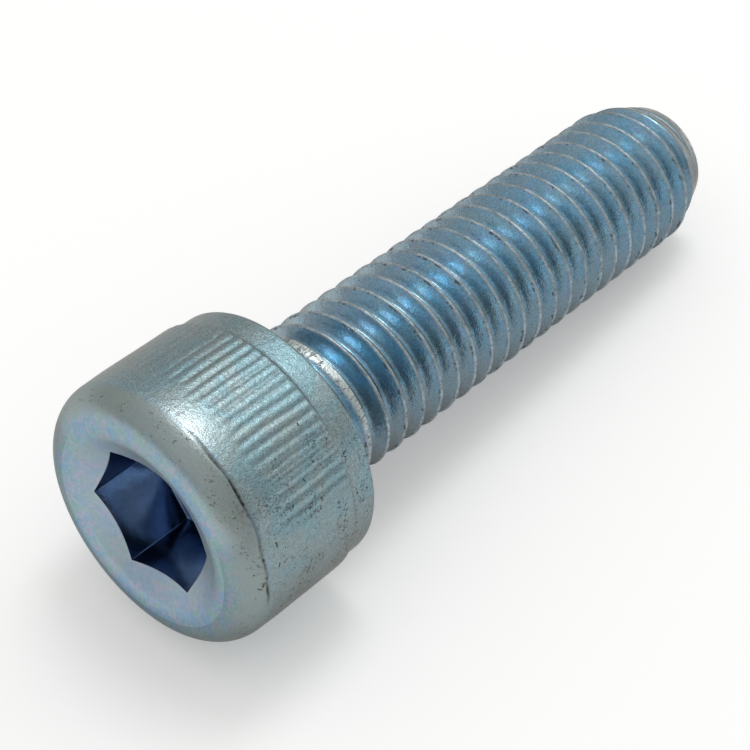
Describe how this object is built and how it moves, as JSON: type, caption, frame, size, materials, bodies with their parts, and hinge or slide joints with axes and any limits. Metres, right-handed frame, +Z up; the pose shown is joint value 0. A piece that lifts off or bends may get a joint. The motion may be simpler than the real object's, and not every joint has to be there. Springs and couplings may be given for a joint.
{
  "type": "hexagon socket head cap screw",
  "caption": "Zinc-plated cylinder-head cap screw with a ribbed head band, hexagon socket and full-length metric thread, lying on its side.",
  "frame": {"origin": "middle of the lying screw's box, on the surface that it rests on", "axes": "+Z up; the screw's axis runs along +X from the head to the tip, and dips towards the tip by 4.98 degrees, because the screw rests on its head and its last thread"},
  "size_m": [0.0386, 0.013, 0.0133],
  "materials": {
    "zinc_plated_steel": "satin"
  },
  "bodies": {
    "root": {"cap_screw": "zinc_plated_steel"}
  },
  "joints": []
}
